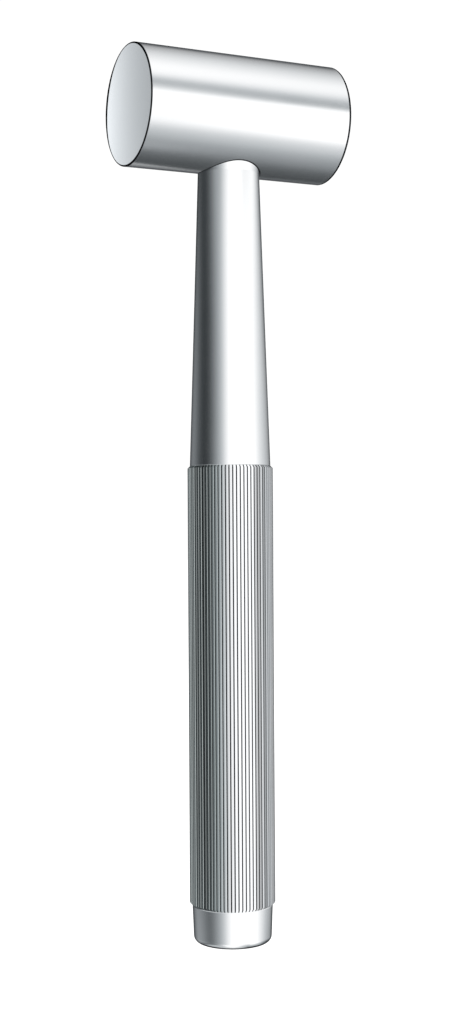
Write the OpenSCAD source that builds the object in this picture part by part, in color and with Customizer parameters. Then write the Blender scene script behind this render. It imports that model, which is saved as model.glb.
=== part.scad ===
// All-steel hammer: a plain cylindrical head on a tapered neck, a grip with
// lengthwise flutes and a screwed butt cap. One draw rod, screwed and pinned
// into the head, holds neck, grip sleeve and cap together end to end.
// Millimetres. Z runs up the handle to the head, X runs along the head, and
// the origin is the centre of the butt cap's end face.

/* [Head] */
// Diameter of the head
head_d = 30; // [28:0.5:32]
// Length of the head, face to face
head_len = 54.6; // [46:0.2:66]
// Radius of the rounded edge round each face
head_edge = 0.3; // [0.2:0.1:1]

/* [Neck] */
// Length of neck that shows between the grip and the head
neck_len = 73.4; // [60:0.2:90]
// Diameter of the neck where it enters the head
neck_top_d = 15.5; // [15:0.1:16]
// Diameter of the neck at the grip
neck_base_d = 20.3; // [19.4:0.1:20.5]

/* [Grip] */
// Diameter of the grip over its flutes
grip_d = 21.5; // [21.3:0.1:23]
// Length of the grip sleeve
grip_len = 110; // [90:1:130]
// Number of lengthwise flutes
flute_count = 72; // [48:2:84]
// Depth of each flute
flute_depth = 0.5; // [0.2:0.05:0.6]
// Share of the pitch that each flute's mouth takes
flute_mouth = 0.32; // [0.28:0.02:0.6]
// Chamfer at each end of the sleeve
grip_chamfer = 0.6; // [0.4:0.1:0.9]

/* [Butt cap] */
// Length of cap that shows below the grip
cap_len = 9.5; // [8:0.1:14]
// Diameter of the cap next to the grip
cap_top_d = 20.2; // [19.6:0.1:20.2]
// Diameter of the cap just above its rounded end
cap_end_d = 19.6; // [18.8:0.1:19.6]
// Radius of the rounded end
cap_round = 1.8; // [1:0.1:2.4]
// Width of the driver slot in the end face
slot_w = 2.4; // [1.6:0.2:3]
// Length of the driver slot, end to end
slot_len = 13; // [9:1:14]
// Depth of the driver slot
slot_depth = 1.8; // [1:0.2:2]

/* [Draw rod] */
// Major diameter of the thread at both ends
thread_d = 8; // [7:0.5:8]
// Thread pitch
thread_pitch = 1.25; // [1:0.25:1.25]
// Diameter of the waisted shank
rod_shank_d = 6.8; // [6:0.1:6.8]

/* [Seals and pins] */
// Cord diameter of the sealing rings as squeezed
seal_cord = 1.3; // [1:0.1:1.3]
// Diameter of the head's locking pin
lock_pin_d = 2.5; // [2:0.1:2.5]
// Diameter of the neck's dowel
dowel_d = 1.5; // [1.2:0.1:1.5]

/* [Hidden] */
$fn = 96;

seat = 0.02; // radial gap of a seated, static fit
run = 0.05;  // radial gap of the cap's thread and spigot
past = 1;    // how far a cut runs past the face it opens

// Heights up the handle
grip_z0 = cap_len;                 // lower end of the sleeve
grip_z1 = grip_z0 + grip_len;      // upper end of the sleeve
head_under = grip_z1 + neck_len;   // lowest line of the head
head_z = head_under + head_d / 2;  // axis of the head
socket_depth = 6.5;
socket_z = head_under + socket_depth; // floor of the neck's socket

// Spigots of neck and cap, and the sleeve's bore round them
spigot_r = 8.45;
sleeve_bore_r = spigot_r + run;    // sleeve's bore at both ends
sleeve_mid_r = 7.5;                // sleeve's bore in between
neck_spigot_len = 13;
neck_spigot_z = grip_z1 - neck_spigot_len; // lower end of the neck's spigot
cap_spigot_z = grip_z0 + 12.4;     // top of the cap's spigot
ledge_z = grip_z0 + 14;            // ledge the disc springs press on

// Draw rod
thread_r = thread_d / 2;
thread_root_r = thread_r - 0.55 * thread_pitch;
rod_z0 = cap_spigot_z - 16.1;
rod_z1 = socket_z + 13;
lower_thread_top = cap_spigot_z + 1.2;
upper_thread_low = socket_z + 1;

// Locking pin and dowel
lock_pin_z = socket_z + 7;
lock_hole_y = -7.6;                // blind end of the pin's hole
dowel_x = 5.3;                     // between the rod's hole and the seal's groove
dowel_len = 5.8;                   // half in the neck, half in the head

// Sealing rings: heights, and floor radii of their grooves
neck_seal_z = socket_z - 2.4;
grip_seal_z = grip_z1 - 4.5;
cap_seal_z = grip_z0 + 4.2;
neck_seal_r = neck_top_d / 2 + seat - seal_cord;
spigot_seal_r = sleeve_bore_r - seal_cord;

// Key between neck and sleeve, on the -Y side
key_w = 2;
keyway_w = key_w + 2 * seat;

// Points on an arc about [x, y], turning from one angle to the other.
function arc(x, y, radius, from, to, steps = 6) =
    [for (i = [0 : steps])
        let (angle = from + (to - from) * i / steps)
        [x + radius * cos(angle), y + radius * sin(angle)]];

// Outer edge of a thread cut from z0 up to z1: crest, flank, root, flank.
function thread_edge(z0, z1) =
    [for (i = [0 : floor((z1 - z0) / thread_pitch) - 1]) each [
        [thread_r, z0 + (i + 0.06) * thread_pitch],
        [thread_r, z0 + (i + 0.19) * thread_pitch],
        [thread_root_r, z0 + (i + 0.50) * thread_pitch],
        [thread_root_r, z0 + (i + 0.75) * thread_pitch]
    ]];

// Profile of a sealing ring's groove centred on z, from bottom to top.
function groove(outer_r, floor_r, z) =
    let (half = seal_cord / 2 + 0.1)
    [[outer_r, z - half], [floor_r, z - half], [floor_r, z + half], [outer_r, z + half]];

// Ring of round cord lying in a groove of the given floor radius.
module seal_ring(floor_r, z) {
    rotate_extrude() translate([floor_r + seat + seal_cord / 2, z])
        circle(d = seal_cord - 2 * seat);
}

module tube(outer_r, inner_r, z, length) {
    translate([0, 0, z]) difference() {
        cylinder(r = outer_r, h = length);
        translate([0, 0, -past]) cylinder(r = inner_r, h = length + 2 * past);
    }
}

// Cylinder at the locking pin's place, running from y towards +Y.
module lock_pin_bar(diameter, y, length) {
    translate([0, y, lock_pin_z]) rotate([-90, 0, 0]) cylinder(d = diameter, h = length);
}

// Blind dowel hole running from z0 up to z1.
module dowel_hole(z0, z1) {
    translate([dowel_x, 0, z0]) cylinder(d = dowel_d + 2 * seat, h = z1 - z0);
}

// Turned barrel of the head, lying along X.
module head_barrel() {
    half = head_len / 2;
    edge_x = head_d / 2 - head_edge;
    edge_y = half - head_edge;
    translate([0, 0, head_z]) rotate([0, 90, 0]) rotate_extrude() polygon(concat(
        [[0, -half]],
        arc(edge_x, -edge_y, head_edge, -90, 0),
        arc(edge_x, edge_y, head_edge, 0, 90),
        [[0, half]]));
}

module head() {
    hole_r = thread_r + seat;
    hole_depth = 14.4;
    drill_tip_r = 0.3;
    drill_point_len = 2.1;
    color("gainsboro") difference() {
        head_barrel();
        // socket for the neck
        translate([0, 0, head_under - past])
            cylinder(r = neck_top_d / 2 + seat, h = socket_depth + past);
        // tapped hole for the rod, with its drill point
        translate([0, 0, socket_z - past]) cylinder(r = hole_r, h = hole_depth + past);
        translate([0, 0, socket_z + hole_depth])
            cylinder(r1 = hole_r, r2 = drill_tip_r, h = drill_point_len);
        dowel_hole(socket_z - past, socket_z + 3.2);
        // locking pin's hole, open on the +Y side
        lock_pin_bar(lock_pin_d + 2 * seat, lock_hole_y, head_d);
    }
}

// Locking pin, its outer end cut flush with the barrel.
module head_lock_pin() {
    trim_w = 10;
    color("silver") intersection() {
        lock_pin_bar(lock_pin_d, lock_hole_y + 0.2, head_d);
        translate([-trim_w / 2, 0, head_z]) rotate([0, 90, 0]) cylinder(d = head_d, h = trim_w);
    }
}

module neck_dowel() {
    radius = dowel_d / 2;
    chamfer = 0.2;
    color("silver") translate([dowel_x, 0, socket_z - dowel_len / 2])
        rotate_extrude() polygon([
            [0, 0], [radius - chamfer, 0], [radius, chamfer],
            [radius, dowel_len - chamfer], [radius - chamfer, dowel_len], [0, dowel_len]]);
}

module draw_rod() {
    shank_r = rod_shank_d / 2;
    runout = 0.8;      // taper between each thread and the shank
    lower_lead = 0.3;  // plain root-diameter tips
    upper_lead = 0.4;
    color("silver") difference() {
        rotate_extrude() polygon(concat(
            [[0, rod_z0], [thread_root_r, rod_z0]],
            thread_edge(rod_z0 + lower_lead, lower_thread_top),
            [[shank_r, lower_thread_top + runout], [shank_r, upper_thread_low - runout]],
            thread_edge(upper_thread_low, rod_z1 - upper_lead),
            [[thread_root_r, rod_z1], [0, rod_z1]]));
        lock_pin_bar(lock_pin_d + 2 * seat, -thread_r - past, thread_d + 2 * past);
    }
}

module neck() {
    top_r = neck_top_d / 2;
    base_r = neck_base_d / 2;
    bore_r = 5.6;                     // wide lower bore
    guide_r = rod_shank_d / 2 + 0.8;  // narrow upper bore
    guide_z = head_under - 12;        // lower end of the narrow bore
    bore_cone = 4;                    // length of the cone between the bores
    spigot_chamfer = 0.6;
    base_chamfer = 0.15;
    top_chamfer = 0.3;
    keyway_depth = 1.2;
    keyway_len = 5.5;
    keyway_over = 2;                  // cut's reach outside the spigot
    color("gainsboro") difference() {
        rotate_extrude() polygon(concat(
            [[bore_r, neck_spigot_z], [spigot_r - spigot_chamfer, neck_spigot_z],
             [spigot_r, neck_spigot_z + spigot_chamfer]],
            groove(spigot_r, spigot_seal_r, grip_seal_z),
            [[spigot_r, grip_z1], [base_r - base_chamfer, grip_z1],
             [base_r, grip_z1 + base_chamfer], [top_r, head_under]],
            groove(top_r, neck_seal_r, neck_seal_z),
            [[top_r, socket_z - top_chamfer], [top_r - top_chamfer, socket_z],
             [guide_r, socket_z], [guide_r, guide_z], [bore_r, guide_z - bore_cone]]));
        dowel_hole(socket_z - 3, socket_z + past);
        // keyway, open at the spigot's lower end
        translate([-keyway_w / 2, -spigot_r - keyway_over, neck_spigot_z - past])
            cube([keyway_w, keyway_depth + keyway_over, keyway_len + past]);
    }
}

module neck_seal_ring() {
    color("dimgray") seal_ring(neck_seal_r, neck_seal_z);
}

// Cross-section of the fluted grip: one V flute and one crowned land a pitch.
module fluted_section() {
    radius = grip_d / 2;
    crown = 0.03;
    pitch = 360 / flute_count;
    half_land = pitch * (1 - flute_mouth) / 2;
    // angle from the land's centre, radius
    tooth = [[-half_land, radius - crown], [0, radius], [half_land, radius - crown],
             [pitch / 2, radius - flute_depth]];
    polygon([for (i = [0 : flute_count - 1], point = tooth)
        let (angle = i * pitch + point[0])
        [point[1] * cos(angle), point[1] * sin(angle)]]);
}

module grip_sleeve() {
    end_r = grip_d / 2 - grip_chamfer;
    over = 0.1;        // clearance of the chamfer's envelope round the flutes
    outer_r = grip_d / 2 + over;
    rise = grip_chamfer + over;
    bore_extra = 1;    // upper bore's reach below the neck's spigot
    keyway_depth = 0.6;
    keyway_cut = 2;    // runs inwards past the bore's wall
    color("gainsboro") difference() {
        intersection() {
            translate([0, 0, grip_z0]) linear_extrude(height = grip_len) fluted_section();
            rotate_extrude() polygon([
                [0, grip_z0], [end_r, grip_z0], [outer_r, grip_z0 + rise],
                [outer_r, grip_z1 - rise], [end_r, grip_z1], [0, grip_z1]]);
        }
        translate([0, 0, grip_z0 - past]) cylinder(r = sleeve_mid_r, h = grip_len + 2 * past);
        translate([0, 0, grip_z0 - past])
            cylinder(r = sleeve_bore_r, h = ledge_z - grip_z0 + past);
        translate([0, 0, neck_spigot_z - bore_extra])
            cylinder(r = sleeve_bore_r, h = neck_spigot_len + bore_extra + past);
        // keyway, running out to the sleeve's upper end
        translate([-keyway_w / 2, -sleeve_bore_r - keyway_depth, neck_spigot_z])
            cube([keyway_w, keyway_cut, neck_spigot_len + past]);
    }
}

module grip_seal_ring() {
    color("dimgray") seal_ring(spigot_seal_r, grip_seal_z);
}

// Parallel key between the neck's spigot and the sleeve.
module grip_key() {
    into_sleeve = 0.55;
    end_gap = 0.1;
    height = 1.75;
    length = 5.2;
    color("silver")
        translate([-key_w / 2, -sleeve_bore_r - into_sleeve, neck_spigot_z + end_gap])
        cube([key_w, height, length]);
}

// Ring that centres the rod and stops it ringing, with four vent grooves.
module rod_centring_bush() {
    length = 14;
    vent_r = 1.4;
    z0 = (ledge_z + neck_spigot_z - length) / 2;
    color("ivory") difference() {
        tube(sleeve_mid_r - seat, rod_shank_d / 2 + seat, z0, length);
        for (angle = [45 : 90 : 315]) rotate([0, 0, angle])
            translate([sleeve_mid_r, 0, z0 - past]) cylinder(r = vent_r, h = length + 2 * past);
    }
}

// Two disc springs, rim to rim, between the cap's spigot and the ledge.
module disc_springs() {
    thick = 0.5;
    gap = 0.02; // below, between and above the discs
    rise = (ledge_z - cap_spigot_z - 3 * gap) / 2 - thick;
    inner_r = thread_r + 0.3;
    outer_r = spigot_r - 0.15;
    lower_z = cap_spigot_z + gap;
    upper_z = lower_z + rise + thick + gap; // underside of the upper disc's rim

    // Coned disc, given the heights of its underside at hole and rim.
    module disc(hole_z, rim_z) {
        rotate_extrude() polygon([[inner_r, hole_z], [outer_r, rim_z],
            [outer_r, rim_z + thick], [inner_r, hole_z + thick]]);
    }

    color("slategray") {
        disc(lower_z, lower_z + rise);
        disc(upper_z + rise, upper_z);
    }
}

module end_cap() {
    top_r = cap_top_d / 2;
    top_chamfer = 0.2;
    spigot_chamfer = 0.5;
    hole_r = thread_r + run;
    hole_z = rod_z0 - 0.9;
    lead_in = 0.8;
    lead_in_over = 0.1;  // lead-in's reach above the spigot
    slot_end_x = (slot_len - slot_w) / 2;
    color("gainsboro") difference() {
        rotate_extrude() polygon(concat(
            [[0, 0]],
            arc(cap_end_d / 2 - cap_round, cap_round, cap_round, -90, 0, 8),
            [[top_r, grip_z0 - top_chamfer], [top_r - top_chamfer, grip_z0],
             [spigot_r, grip_z0]],
            groove(spigot_r, spigot_seal_r, cap_seal_z),
            [[spigot_r, cap_spigot_z - spigot_chamfer],
             [spigot_r - spigot_chamfer, cap_spigot_z], [0, cap_spigot_z]]));
        // tapped blind hole with its lead-in
        translate([0, 0, hole_z]) cylinder(r = hole_r, h = cap_spigot_z - hole_z + 1.1);
        translate([0, 0, cap_spigot_z - lead_in + lead_in_over])
            cylinder(r1 = hole_r, r2 = hole_r + lead_in, h = lead_in);
        // driver slot with rounded ends
        translate([-slot_end_x, -slot_w / 2, -past])
            cube([2 * slot_end_x, slot_w, slot_depth + past]);
        for (side = [-1, 1]) translate([side * slot_end_x, 0, -past])
            cylinder(d = slot_w, h = slot_depth + past);
    }
}

module cap_seal_ring() {
    color("dimgray") seal_ring(spigot_seal_r, cap_seal_z);
}

head();
head_lock_pin();
neck_dowel();
draw_rod();
neck();
neck_seal_ring();
grip_sleeve();
grip_seal_ring();
grip_key();
rod_centring_bush();
disc_springs();
end_cap();
cap_seal_ring();
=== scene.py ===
import math

import bmesh
import bpy
import numpy as np
from mathutils import Matrix, Vector


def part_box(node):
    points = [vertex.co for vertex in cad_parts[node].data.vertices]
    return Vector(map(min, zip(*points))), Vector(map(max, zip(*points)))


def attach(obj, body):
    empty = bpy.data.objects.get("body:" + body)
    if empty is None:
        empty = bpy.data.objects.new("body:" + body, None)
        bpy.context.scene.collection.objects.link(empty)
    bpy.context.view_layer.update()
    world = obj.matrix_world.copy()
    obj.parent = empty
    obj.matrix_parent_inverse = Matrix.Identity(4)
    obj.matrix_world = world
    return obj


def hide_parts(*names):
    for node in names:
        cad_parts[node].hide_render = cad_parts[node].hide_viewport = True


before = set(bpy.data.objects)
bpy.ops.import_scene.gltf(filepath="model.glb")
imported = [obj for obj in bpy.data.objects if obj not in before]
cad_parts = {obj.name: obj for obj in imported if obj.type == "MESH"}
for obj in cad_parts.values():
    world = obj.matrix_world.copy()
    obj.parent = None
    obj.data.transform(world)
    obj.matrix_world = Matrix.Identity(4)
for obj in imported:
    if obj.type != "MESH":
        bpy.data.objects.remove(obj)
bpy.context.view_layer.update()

MM = 0.001

# ---------------------------------------------------------------- sizes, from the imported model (mm)
hb, nb, gb, cb, rb = (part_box(n) for n in ("head", "neck", "grip_sleeve", "end_cap", "draw_rod"))
HEAD_R = (hb[1].z - hb[0].z) / 2 / MM
HEAD_H = (hb[1].x - hb[0].x) / 2 / MM
HEAD_Z = (hb[1].z + hb[0].z) / 2 / MM
NECK_Z0, SOCKET_Z = nb[0].z / MM, nb[1].z / MM
NECK_RB = nb[1].x / MM
GRIP_Z0, GRIP_Z1 = gb[0].z / MM, gb[1].z / MM
GRIP_R = max(gb[1].x, gb[1].y) / MM
CAP_TOP = cb[1].z / MM
CAP_RT = cb[1].x / MM
ROD_Z0, ROD_Z1 = rb[0].z / MM, rb[1].z / MM
ROD_R = rb[1].x / MM
UNDER = HEAD_Z - HEAD_R

HEAD_EDGE = 0.3
NECK_RT = 7.75
SPIGOT_R = 8.45
BORE_R = 8.50
MID_R = 7.50
CORD = 1.30
SEAT = 0.02
CAP_RE = 9.8
CAP_ROUND = 1.8
LEDGE_Z = GRIP_Z0 + 14.0
PIN_Z = SOCKET_Z + 7.0
PIN_R = 1.25
DOWEL_X = 5.3
DOWEL_R = 0.75
FLUTES = 72
FLUTE_DEPTH = 0.50
FLUTE_MOUTH = 0.32
CHAMFER = 0.60
SHANK_R = 3.4
PITCH = 1.25
TURN = 256


# ---------------------------------------------------------------- mesh helpers
def new_object(name, verts, faces):
    """A mesh object from millimetre vertices."""
    me = bpy.data.meshes.new(name)
    me.from_pydata([tuple(c * MM for c in v) for v in verts], [], [tuple(f) for f in faces])
    me.update()
    ob = bpy.data.objects.new(name, me)
    bpy.context.scene.collection.objects.link(ob)
    return ob


def line(*pts):
    """Straight runs through (r, z) points, one run each, with the normal to the right of travel."""
    out = []
    for (r0, z0), (r1, z1) in zip(pts, pts[1:]):
        d = math.hypot(r1 - r0, z1 - z0)
        n = ((z1 - z0) / d, -(r1 - r0) / d)
        out.append([(r0, z0, *n), (r1, z1, *n)])
    return out


def arc(cx, cz, r, a0, a1, n=10, hollow=False):
    """One run of points with exact normals round an arc in the (r, z) plane, angles in degrees."""
    s, out = (-1 if hollow else 1), []
    for i in range(n + 1):
        a = math.radians(a0 + (a1 - a0) * i / n)
        out.append((cx + r * math.cos(a), cz + r * math.sin(a), s * math.cos(a), s * math.sin(a)))
    return [out]


def turned(axis, at):
    """Maps lathe coordinates, turned about z, to the row frame."""
    ox, oy, oz = at
    if axis == "X":
        return lambda x, y, z: (z + ox, x + oy, y + oz)
    if axis == "Y":
        return lambda x, y, z: (y + ox, z + oy, x + oz)
    return lambda x, y, z: (x + ox, y + oy, z + oz)


def unturned(axis, at, p):
    """The inverse of turned() on an array of points (or directions, with at=0)."""
    q = p - np.array(at, float)
    if axis == "X":
        return q[:, [1, 2, 0]]
    if axis == "Y":
        return q[:, [2, 0, 1]]
    return q


def lathe(name, runs, seg=TURN, closed=False, axis="Z", at=(0, 0, 0)):
    """Turns runs of (r, z, nr, nz) about an axis. Open profiles start and end on the axis."""
    pts = [run[0][:2] for run in runs[:1]]
    for run in runs:
        if math.hypot(run[0][0] - pts[-1][0], run[0][1] - pts[-1][1]) > 1e-6:
            raise ValueError(f"{name}: runs don't meet at {run[0][:2]} after {pts[-1]}")
        pts += [p[:2] for p in run[1:]]
    if closed:
        pts = pts[:-1]
    to, verts, rings = turned(axis, at), [], []
    for r, z in pts:
        if r < 1e-9:
            rings.append([len(verts)] * seg)
            verts.append(to(0, 0, z))
        else:
            rings.append(list(range(len(verts), len(verts) + seg)))
            verts += [to(r * math.cos(2 * math.pi * j / seg), r * math.sin(2 * math.pi * j / seg), z) for j in range(seg)]
    faces = []
    for i in range(len(pts) if closed else len(pts) - 1):
        a, b = rings[i], rings[(i + 1) % len(pts)]
        for j in range(seg):
            k = (j + 1) % seg
            face = []
            for v in (a[j], a[k], b[k], b[j]):
                if v not in face:
                    face.append(v)
            faces.append(face)
    ob = new_object(name, verts, faces)
    spans = []
    for run in runs:
        spans += list(zip(run, run[1:]))
    return ob, [lathe_surface(spans, axis, at)]


def lathe_surface(spans, axis, at):
    """A surface for dress(): exact normals of a turned profile, near face corners p whose face normals are f."""
    def surface(p, f):
        q = unturned(axis, at, p)
        fn = unturned(axis, (0, 0, 0), f)
        r = np.hypot(q[:, 0], q[:, 1])
        er = np.where(r[:, None] > 1e-7, q[:, :2] / np.maximum(r, 1e-7)[:, None], 0.0)
        best, normal = np.full(len(p), 0.80), np.zeros((len(p), 3))
        for (r0, z0, a0, b0), (r1, z1, a1, b1) in spans:
            d = np.array([r1 - r0, z1 - z0])
            ll = d @ d
            t = np.clip(((r - r0) * d[0] + (q[:, 2] - z0) * d[1]) / ll, 0, 1)
            off = np.hypot(r - r0 - t * d[0], q[:, 2] - z0 - t * d[1])
            nr, nz = a0 + (a1 - a0) * t, b0 + (b1 - b0) * t
            n = np.column_stack([er[:, 0] * nr, er[:, 1] * nr, nz])
            n /= np.maximum(np.linalg.norm(n, axis=1), 1e-9)[:, None]
            fit = (n * fn).sum(1) - off * 5
            hit = (off < 0.012) & (fit > best)
            best = np.where(hit, fit, best)
            normal[hit] = n[hit]
        if axis == "X":
            normal = normal[:, [2, 0, 1]]
        elif axis == "Y":
            normal = normal[:, [1, 2, 0]]
        return best, normal
    return surface


def round_wall(c, d, radius, inside=True):
    """A surface for dress(): the wall of a round hole (or pin) through point c along direction d."""
    c, d = np.array(c, float), np.array(d, float) / np.linalg.norm(d)
    def surface(p, f):
        q = p - c
        q = q - np.outer(q @ d, d)
        r = np.linalg.norm(q, axis=1)
        n = q / np.maximum(r, 1e-9)[:, None] * (-1 if inside else 1)
        fit = (n * f).sum(1)
        hit = (abs(r - radius) < 0.012) & (fit > 0.9)
        return np.where(hit, fit, 0.80), np.where(hit[:, None], n, 0.0)
    return surface


def dress(ob, surfaces):
    """Sets every face corner's normal from the exact surface it lies on, or from its own face."""
    me = ob.data
    co = np.zeros(len(me.vertices) * 3)
    me.vertices.foreach_get("co", co)
    co = co.reshape(-1, 3) / MM
    vi = np.zeros(len(me.loops), int)
    me.loops.foreach_get("vertex_index", vi)
    fn = np.zeros(len(me.polygons) * 3)
    me.polygons.foreach_get("normal", fn)
    total = np.zeros(len(me.polygons), int)
    me.polygons.foreach_get("loop_total", total)
    f = np.repeat(fn.reshape(-1, 3), total, axis=0)
    p = co[vi]
    best, normal = np.full(len(p), 0.80), f.copy()
    for s in surfaces:
        fit, n = s(p, f)
        hit = (fit > best) & (np.abs(n).sum(1) > 0.1)
        best = np.where(hit, fit, best)
        normal[hit] = n[hit]
    me.polygons.foreach_set("use_smooth", [True] * len(me.polygons))
    me.normals_split_custom_set([tuple(x) for x in normal])
    me.update()
    return ob


def cut(ob, *tools):
    """ob less each tool, exactly; the tools are removed."""
    for t in tools:
        m = ob.modifiers.new("cut", "BOOLEAN")
        m.operation, m.solver, m.object = "DIFFERENCE", "EXACT", t
        dg = bpy.context.evaluated_depsgraph_get()
        me = bpy.data.meshes.new_from_object(ob.evaluated_get(dg), depsgraph=dg)
        ob.modifiers.remove(m)
        old, ob.data = ob.data, me
        me.name = ob.name
        bpy.data.meshes.remove(old)
        gone = t.data
        bpy.data.objects.remove(t)
        bpy.data.meshes.remove(gone)
    return ob


def drill(r, z0, z1, axis="Z", at=(0, 0, 0), seg=96, sink=0.0, sink_at=1):
    """A round cutting tool from z0 to z1 along an axis, with an optional countersink of that width."""
    if sink:
        runs = line((0, z0), (r, z0), (r, z1 - sink), (r + sink, z1), (r + sink, z1 + 1), (0, z1 + 1))
    else:
        runs = line((0, z0), (r, z0), (r, z1), (0, z1))
    return lathe("tool", runs, seg, axis=axis, at=at)[0]


def block(x0, x1, y0, y1, z0, z1, name="tool"):
    v = [(x, y, z) for z in (z0, z1) for y in (y0, y1) for x in (x0, x1)]
    return new_object(name, v, [(0, 2, 3, 1), (4, 5, 7, 6), (0, 1, 5, 4), (2, 6, 7, 3), (0, 4, 6, 2), (1, 3, 7, 5)])


# ---------------------------------------------------------------- the pieces
made = {}


def piece(ob, body, slot, *nodes):
    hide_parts(*nodes)
    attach(ob, body)
    made[ob.name] = ob
    return ob


def build_head():
    h, r, e = HEAD_H, HEAD_R, HEAD_EDGE
    runs = line((0, -h), (r - e - 3, -h)) + line((r - e - 3, -h), (r - e, -h)) + arc(r - e, -h + e, e, -90, 0, 12)
    steps = [-h + e + (2 * (h - e)) * i / 24 for i in range(25)]
    for a, b in zip(steps, steps[1:]):
        runs += line((r, a), (r, b))
    runs += arc(r - e, h - e, e, 0, 90, 12) + line((r - e, h), (r - e - 3, h)) + line((r - e - 3, h), (0, h))
    ob, surf = lathe("head_bar", runs, 320, axis="X", at=(0, 0, HEAD_Z))
    rt = NECK_RT + SEAT
    cut(ob, drill(rt, UNDER - 2, SOCKET_Z, seg=192))
    cut(ob, drill(ROD_R + SEAT, SOCKET_Z - 0.5, SOCKET_Z + 14.4))
    cut(ob, drill(DOWEL_R + SEAT, SOCKET_Z - 0.5, SOCKET_Z + 3.2, at=(DOWEL_X, 0, 0), seg=48))
    cut(ob, drill(PIN_R + SEAT, -7.6, HEAD_R + 3, axis="Y", at=(0, 0, PIN_Z), seg=64))
    surf += [round_wall((0, 0, 0), (0, 0, 1), rt), round_wall((0, 0, 0), (0, 0, 1), ROD_R + SEAT),
             round_wall((DOWEL_X, 0, 0), (0, 0, 1), DOWEL_R + SEAT), round_wall((0, 0, PIN_Z), (0, 1, 0), PIN_R + SEAT)]
    dress(ob, surf)
    return piece(ob, "hammer", "polished_steel", "head")


def build_lock_pin():
    """Ground flush with the barrel, with a fine edge break at its outer end."""
    rows, seg = [], 64
    y0 = -7.4
    def skin(x, z):
        return math.sqrt((HEAD_R - 0.012) ** 2 - (z + PIN_Z - HEAD_Z) ** 2)
    for r, dy in ((0, 0), (PIN_R - 0.25, 0), (PIN_R, 0.25)):
        rows.append([(r * math.cos(2 * math.pi * j / seg), y0 + dy, r * math.sin(2 * math.pi * j / seg)) for j in range(seg)])
    for r, dy in ((PIN_R, -0.09), (PIN_R - 0.03, -0.04), (PIN_R - 0.09, 0), (PIN_R * 0.75, 0), (PIN_R * 0.45, 0), (0, 0)):
        row = []
        for j in range(seg):
            x, z = r * math.cos(2 * math.pi * j / seg), r * math.sin(2 * math.pi * j / seg)
            row.append((x, skin(x, z) + dy, z))
        rows.append(row)
    verts, rings = [], []
    for row in rows:
        if max(abs(row[0][0]), abs(row[0][2])) < 1e-9:
            rings.append([len(verts)] * seg)
            verts.append((row[0][0], row[0][1], row[0][2] + PIN_Z))
        else:
            rings.append(list(range(len(verts), len(verts) + seg)))
            verts += [(x, y, z + PIN_Z) for x, y, z in row]
    faces = []
    for a, b in zip(rings, rings[1:]):
        for j in range(seg):
            k, face = (j + 1) % seg, []
            for v in (a[k], a[j], b[j], b[k]):
                if v not in face:
                    face.append(v)
            faces.append(face)
    ob = new_object("lock_pin_flush", verts, faces)
    dress(ob, [round_wall((0, 0, PIN_Z), (0, 1, 0), PIN_R, inside=False),
               round_wall((0, 0, HEAD_Z), (1, 0, 0), HEAD_R - 0.012, inside=False)])
    return piece(ob, "hammer", "pin_steel", "head_lock_pin")


def groove(outer, floor, z, up=True):
    """Points of a square O-ring groove in a shaft of radius outer, going up."""
    w = CORD / 2 + 0.1
    return [(outer, z - w), (floor, z - w), (floor, z + w), (outer, z + w)]


def build_neck():
    rt, rbm, g = NECK_RT, NECK_RB, ROD_R
    bore, guide = 5.6, SHANK_R + 0.8
    gz, rz = GRIP_Z1 - 4.5, SOCKET_Z - 2.4
    runs = line((bore, NECK_Z0), (SPIGOT_R - 0.6, NECK_Z0), (SPIGOT_R, NECK_Z0 + 0.6),
                *groove(SPIGOT_R, BORE_R - CORD, gz), (SPIGOT_R, GRIP_Z1), (rbm - 0.15, GRIP_Z1))
    runs += arc(rbm - 0.15, GRIP_Z1 + 0.15, 0.15, -90, 0, 6)
    n = 24
    cone = [(rbm + (rt - rbm) * i / n, GRIP_Z1 + 0.15 + (UNDER - GRIP_Z1 - 0.15) * i / n) for i in range(n + 1)]
    runs += line(*cone)
    runs += line((rt, UNDER), *groove(rt, rt + SEAT - CORD, rz), (rt, SOCKET_Z - 0.3), (rt - 0.3, SOCKET_Z),
                 (guide, SOCKET_Z), (guide, UNDER - 12), (bore, UNDER - 16), (bore, NECK_Z0))
    ob, surf = lathe("neck_taper", runs, TURN, closed=True)
    cut(ob, drill(DOWEL_R + SEAT, SOCKET_Z - 3, SOCKET_Z + 1, at=(DOWEL_X, 0, 0), seg=48))
    cut(ob, block(-1.02, 1.02, -SPIGOT_R - 2, -SPIGOT_R + 1.2, NECK_Z0 - 1, NECK_Z0 + 5.5))
    dress(ob, surf + [round_wall((DOWEL_X, 0, 0), (0, 0, 1), DOWEL_R + SEAT)])
    return piece(ob, "hammer", "polished_steel", "neck")


# One flute and one crowned land a pitch: offsets from the land's centre, in pitches, and depths.
def flute_row():
    hl = (1 - FLUTE_MOUTH) / 2
    m = FLUTE_MOUTH / 2
    row = [(hl * 0.9 * i / 4, 0.010 * (i / 4) ** 2) for i in range(5)]
    row += [(hl, 0.022), (hl + 0.07 * m, 0.050), (hl + 0.14 * m, 0.09)]
    row += [(hl + 0.38 * m, FLUTE_DEPTH * 0.46), (hl + 0.62 * m, FLUTE_DEPTH * 0.72), (hl + 0.82 * m, FLUTE_DEPTH * 0.91)]
    row += [(hl + 0.92 * m, FLUTE_DEPTH * 0.98)]
    left = [(-t, d) for t, d in row[:0:-1]]
    return left + row + [(0.5, FLUTE_DEPTH)]


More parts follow.
